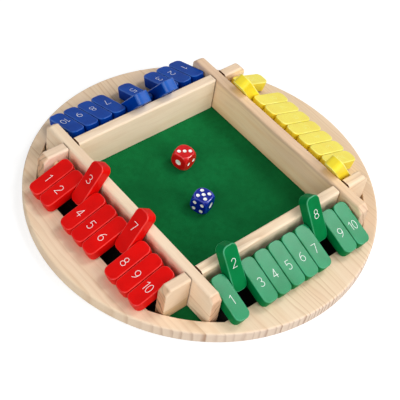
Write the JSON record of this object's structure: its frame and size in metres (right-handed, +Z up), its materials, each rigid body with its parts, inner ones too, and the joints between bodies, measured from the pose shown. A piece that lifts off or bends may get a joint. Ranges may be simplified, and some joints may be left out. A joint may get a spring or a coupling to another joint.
{
  "type": "shut the box game",
  "caption": "Round wooden shut the box game with a square felt tray, a bank of hinged numbered tiles along each side, and dice.",
  "frame": {"origin": "centre of the underside of the round board, on the surface that it stands on", "axes": "+Z up; the red bank lies on -X, the green bank on -Y, the yellow bank on +X and the blue bank on +Y"},
  "size_m": [0.3, 0.3, 0.0541],
  "materials": {
    "pine_board": "satin",
    "pine_wall": "satin",
    "dowel": "satin",
    "black_base": "matte",
    "green_felt": "matte",
    "red_paint": "satin",
    "green_paint": "satin",
    "yellow_paint": "satin",
    "blue_paint": "satin",
    "red_plastic": "glossy",
    "blue_plastic": "glossy"
  },
  "bodies": {
    "board": {"board": "pine_board", "base_panel": "black_base", "felt_liner": "green_felt", "long_wall_red_side": "pine_wall", "long_wall_yellow_side": "pine_wall", "short_wall_green_side": "pine_wall", "short_wall_blue_side": "pine_wall", "red_cheek_at_1": "pine_wall", "red_cheek_at_10": "pine_wall", "yellow_cheek_at_1": "pine_wall", "yellow_cheek_at_10": "pine_wall", "red_dowel": "dowel", "green_dowel": "dowel", "yellow_dowel": "dowel", "blue_dowel": "dowel"},
    "red_tile_1": {"red_tile_1": "red_paint"},
    "red_tile_2": {"red_tile_2": "red_paint"},
    "red_tile_3": {"red_tile_3": "red_paint"},
    "red_tile_4": {"red_tile_4": "red_paint"},
    "red_tile_5": {"red_tile_5": "red_paint"},
    "red_tile_6": {"red_tile_6": "red_paint"},
    "red_tile_7": {"red_tile_7": "red_paint"},
    "red_tile_8": {"red_tile_8": "red_paint"},
    "red_tile_9": {"red_tile_9": "red_paint"},
    "red_tile_10": {"red_tile_10": "red_paint"},
    "green_tile_1": {"green_tile_1": "green_paint"},
    "green_tile_2": {"green_tile_2": "green_paint"},
    "green_tile_3": {"green_tile_3": "green_paint"},
    "green_tile_4": {"green_tile_4": "green_paint"},
    "green_tile_5": {"green_tile_5": "green_paint"},
    "green_tile_6": {"green_tile_6": "green_paint"},
    "green_tile_7": {"green_tile_7": "green_paint"},
    "green_tile_8": {"green_tile_8": "green_paint"},
    "green_tile_9": {"green_tile_9": "green_paint"},
    "green_tile_10": {"green_tile_10": "green_paint"},
    "yellow_tile_1": {"yellow_tile_1": "yellow_paint"},
    "yellow_tile_2": {"yellow_tile_2": "yellow_paint"},
    "yellow_tile_3": {"yellow_tile_3": "yellow_paint"},
    "yellow_tile_4": {"yellow_tile_4": "yellow_paint"},
    "yellow_tile_5": {"yellow_tile_5": "yellow_paint"},
    "yellow_tile_6": {"yellow_tile_6": "yellow_paint"},
    "yellow_tile_7": {"yellow_tile_7": "yellow_paint"},
    "yellow_tile_8": {"yellow_tile_8": "yellow_paint"},
    "yellow_tile_9": {"yellow_tile_9": "yellow_paint"},
    "yellow_tile_10": {"yellow_tile_10": "yellow_paint"},
    "blue_tile_1": {"blue_tile_1": "blue_paint"},
    "blue_tile_2": {"blue_tile_2": "blue_paint"},
    "blue_tile_3": {"blue_tile_3": "blue_paint"},
    "blue_tile_4": {"blue_tile_4": "blue_paint"},
    "blue_tile_5": {"blue_tile_5": "blue_paint"},
    "blue_tile_6": {"blue_tile_6": "blue_paint"},
    "blue_tile_7": {"blue_tile_7": "blue_paint"},
    "blue_tile_8": {"blue_tile_8": "blue_paint"},
    "blue_tile_9": {"blue_tile_9": "blue_paint"},
    "blue_tile_10": {"blue_tile_10": "blue_paint"},
    "red_die": {"red_die": "red_plastic"},
    "blue_die": {"blue_die": "blue_plastic"}
  },
  "joints": [
    {"name": "red_tile_1_turn", "type": "hinge", "parent": "board", "child": "red_tile_1", "pos_m": [-0.0973, 0, 0.02657], "axis": [0, 1, 0], "range_deg": [0, 144.3]},
    {"name": "red_tile_2_turn", "type": "hinge", "parent": "board", "child": "red_tile_2", "pos_m": [-0.0973, 0, 0.02657], "axis": [0, 1, 0], "range_deg": [0, 144.3]},
    {"name": "red_tile_3_turn", "type": "hinge", "parent": "board", "child": "red_tile_3", "pos_m": [-0.0973, 0, 0.02657], "axis": [0, 1, 0], "range_deg": [-144.3, 0]},
    {"name": "red_tile_4_turn", "type": "hinge", "parent": "board", "child": "red_tile_4", "pos_m": [-0.0973, 0, 0.02657], "axis": [0, 1, 0], "range_deg": [0, 144.3]},
    {"name": "red_tile_5_turn", "type": "hinge", "parent": "board", "child": "red_tile_5", "pos_m": [-0.0973, 0, 0.02657], "axis": [0, 1, 0], "range_deg": [0, 144.3]},
    {"name": "red_tile_6_turn", "type": "hinge", "parent": "board", "child": "red_tile_6", "pos_m": [-0.0973, 0, 0.02657], "axis": [0, 1, 0], "range_deg": [0, 144.3]},
    {"name": "red_tile_7_turn", "type": "hinge", "parent": "board", "child": "red_tile_7", "pos_m": [-0.0973, 0, 0.02657], "axis": [0, 1, 0], "range_deg": [-144.3, 0]},
    {"name": "red_tile_8_turn", "type": "hinge", "parent": "board", "child": "red_tile_8", "pos_m": [-0.0973, 0, 0.02657], "axis": [0, 1, 0], "range_deg": [0, 144.3]},
    {"name": "red_tile_9_turn", "type": "hinge", "parent": "board", "child": "red_tile_9", "pos_m": [-0.0973, 0, 0.02657], "axis": [0, 1, 0], "range_deg": [0, 144.3]},
    {"name": "red_tile_10_turn", "type": "hinge", "parent": "board", "child": "red_tile_10", "pos_m": [-0.0973, 0, 0.02657], "axis": [0, 1, 0], "range_deg": [0, 144.3]},
    {"name": "green_tile_1_turn", "type": "hinge", "parent": "board", "child": "green_tile_1", "pos_m": [0, -0.0973, 0.02657], "axis": [-1, 0, 0], "range_deg": [0, 144.3]},
    {"name": "green_tile_2_turn", "type": "hinge", "parent": "board", "child": "green_tile_2", "pos_m": [0, -0.0973, 0.02657], "axis": [-1, 0, 0], "range_deg": [-144.3, 0]},
    {"name": "green_tile_3_turn", "type": "hinge", "parent": "board", "child": "green_tile_3", "pos_m": [0, -0.0973, 0.02657], "axis": [-1, 0, 0], "range_deg": [0, 144.3]},
    {"name": "green_tile_4_turn", "type": "hinge", "parent": "board", "child": "green_tile_4", "pos_m": [0, -0.0973, 0.02657], "axis": [-1, 0, 0], "range_deg": [0, 144.3]},
    {"name": "green_tile_5_turn", "type": "hinge", "parent": "board", "child": "green_tile_5", "pos_m": [0, -0.0973, 0.02657], "axis": [-1, 0, 0], "range_deg": [0, 144.3]},
    {"name": "green_tile_6_turn", "type": "hinge", "parent": "board", "child": "green_tile_6", "pos_m": [0, -0.0973, 0.02657], "axis": [-1, 0, 0], "range_deg": [0, 144.3]},
    {"name": "green_tile_7_turn", "type": "hinge", "parent": "board", "child": "green_tile_7", "pos_m": [0, -0.0973, 0.02657], "axis": [-1, 0, 0], "range_deg": [0, 144.3]},
    {"name": "green_tile_8_turn", "type": "hinge", "parent": "board", "child": "green_tile_8", "pos_m": [0, -0.0973, 0.02657], "axis": [-1, 0, 0], "range_deg": [-144.3, 0]},
    {"name": "green_tile_9_turn", "type": "hinge", "parent": "board", "child": "green_tile_9", "pos_m": [0, -0.0973, 0.02657], "axis": [-1, 0, 0], "range_deg": [0, 144.3]},
    {"name": "green_tile_10_turn", "type": "hinge", "parent": "board", "child": "green_tile_10", "pos_m": [0, -0.0973, 0.02657], "axis": [-1, 0, 0], "range_deg": [0, 144.3]},
    {"name": "yellow_tile_1_turn", "type": "hinge", "parent": "board", "child": "yellow_tile_1", "pos_m": [0.0973, 0, 0.02657], "axis": [0, -1, 0], "range_deg": [-144.3, 0]},
    {"name": "yellow_tile_2_turn", "type": "hinge", "parent": "board", "child": "yellow_tile_2", "pos_m": [0.0973, 0, 0.02657], "axis": [0, -1, 0], "range_deg": [0, 144.3]},
    {"name": "yellow_tile_3_turn", "type": "hinge", "parent": "board", "child": "yellow_tile_3", "pos_m": [0.0973, 0, 0.02657], "axis": [0, -1, 0], "range_deg": [0, 144.3]},
    {"name": "yellow_tile_4_turn", "type": "hinge", "parent": "board", "child": "yellow_tile_4", "pos_m": [0.0973, 0, 0.02657], "axis": [0, -1, 0], "range_deg": [0, 144.3]},
    {"name": "yellow_tile_5_turn", "type": "hinge", "parent": "board", "child": "yellow_tile_5", "pos_m": [0.0973, 0, 0.02657], "axis": [0, -1, 0], "range_deg": [0, 144.3]},
    {"name": "yellow_tile_6_turn", "type": "hinge", "parent": "board", "child": "yellow_tile_6", "pos_m": [0.0973, 0, 0.02657], "axis": [0, -1, 0], "range_deg": [0, 144.3]},
    {"name": "yellow_tile_7_turn", "type": "hinge", "parent": "board", "child": "yellow_tile_7", "pos_m": [0.0973, 0, 0.02657], "axis": [0, -1, 0], "range_deg": [0, 144.3]},
    {"name": "yellow_tile_8_turn", "type": "hinge", "parent": "board", "child": "yellow_tile_8", "pos_m": [0.0973, 0, 0.02657], "axis": [0, -1, 0], "range_deg": [0, 144.3]},
    {"name": "yellow_tile_9_turn", "type": "hinge", "parent": "board", "child": "yellow_tile_9", "pos_m": [0.0973, 0, 0.02657], "axis": [0, -1, 0], "range_deg": [-144.3, 0]},
    {"name": "yellow_tile_10_turn", "type": "hinge", "parent": "board", "child": "yellow_tile_10", "pos_m": [0.0973, 0, 0.02657], "axis": [0, -1, 0], "range_deg": [0, 144.3]},
    {"name": "blue_tile_1_turn", "type": "hinge", "parent": "board", "child": "blue_tile_1", "pos_m": [0, 0.0973, 0.02657], "axis": [1, 0, 0], "range_deg": [0, 144.3]},
    {"name": "blue_tile_2_turn", "type": "hinge", "parent": "board", "child": "blue_tile_2", "pos_m": [0, 0.0973, 0.02657], "axis": [1, 0, 0], "range_deg": [0, 144.3]},
    {"name": "blue_tile_3_turn", "type": "hinge", "parent": "board", "child": "blue_tile_3", "pos_m": [0, 0.0973, 0.02657], "axis": [1, 0, 0], "range_deg": [0, 144.3]},
    {"name": "blue_tile_4_turn", "type": "hinge", "parent": "board", "child": "blue_tile_4", "pos_m": [0, 0.0973, 0.02657], "axis": [1, 0, 0], "range_deg": [-144.3, 0]},
    {"name": "blue_tile_5_turn", "type": "hinge", "parent": "board", "child": "blue_tile_5", "pos_m": [0, 0.0973, 0.02657], "axis": [1, 0, 0], "range_deg": [0, 144.3]},
    {"name": "blue_tile_6_turn", "type": "hinge", "parent": "board", "child": "blue_tile_6", "pos_m": [0, 0.0973, 0.02657], "axis": [1, 0, 0], "range_deg": [-144.3, 0]},
    {"name": "blue_tile_7_turn", "type": "hinge", "parent": "board", "child": "blue_tile_7", "pos_m": [0, 0.0973, 0.02657], "axis": [1, 0, 0], "range_deg": [0, 144.3]},
    {"name": "blue_tile_8_turn", "type": "hinge", "parent": "board", "child": "blue_tile_8", "pos_m": [0, 0.0973, 0.02657], "axis": [1, 0, 0], "range_deg": [0, 144.3]},
    {"name": "blue_tile_9_turn", "type": "hinge", "parent": "board", "child": "blue_tile_9", "pos_m": [0, 0.0973, 0.02657], "axis": [1, 0, 0], "range_deg": [0, 144.3]},
    {"name": "blue_tile_10_turn", "type": "hinge", "parent": "board", "child": "blue_tile_10", "pos_m": [0, 0.0973, 0.02657], "axis": [1, 0, 0], "range_deg": [0, 144.3]},
    {"name": "red_die_lift", "type": "slide", "parent": "board", "child": "red_die", "axis": [0, 0, 1], "range_m": [0, 0.06]},
    {"name": "blue_die_lift", "type": "slide", "parent": "board", "child": "blue_die", "axis": [0, 0, 1], "range_m": [0, 0.06]}
  ]
}
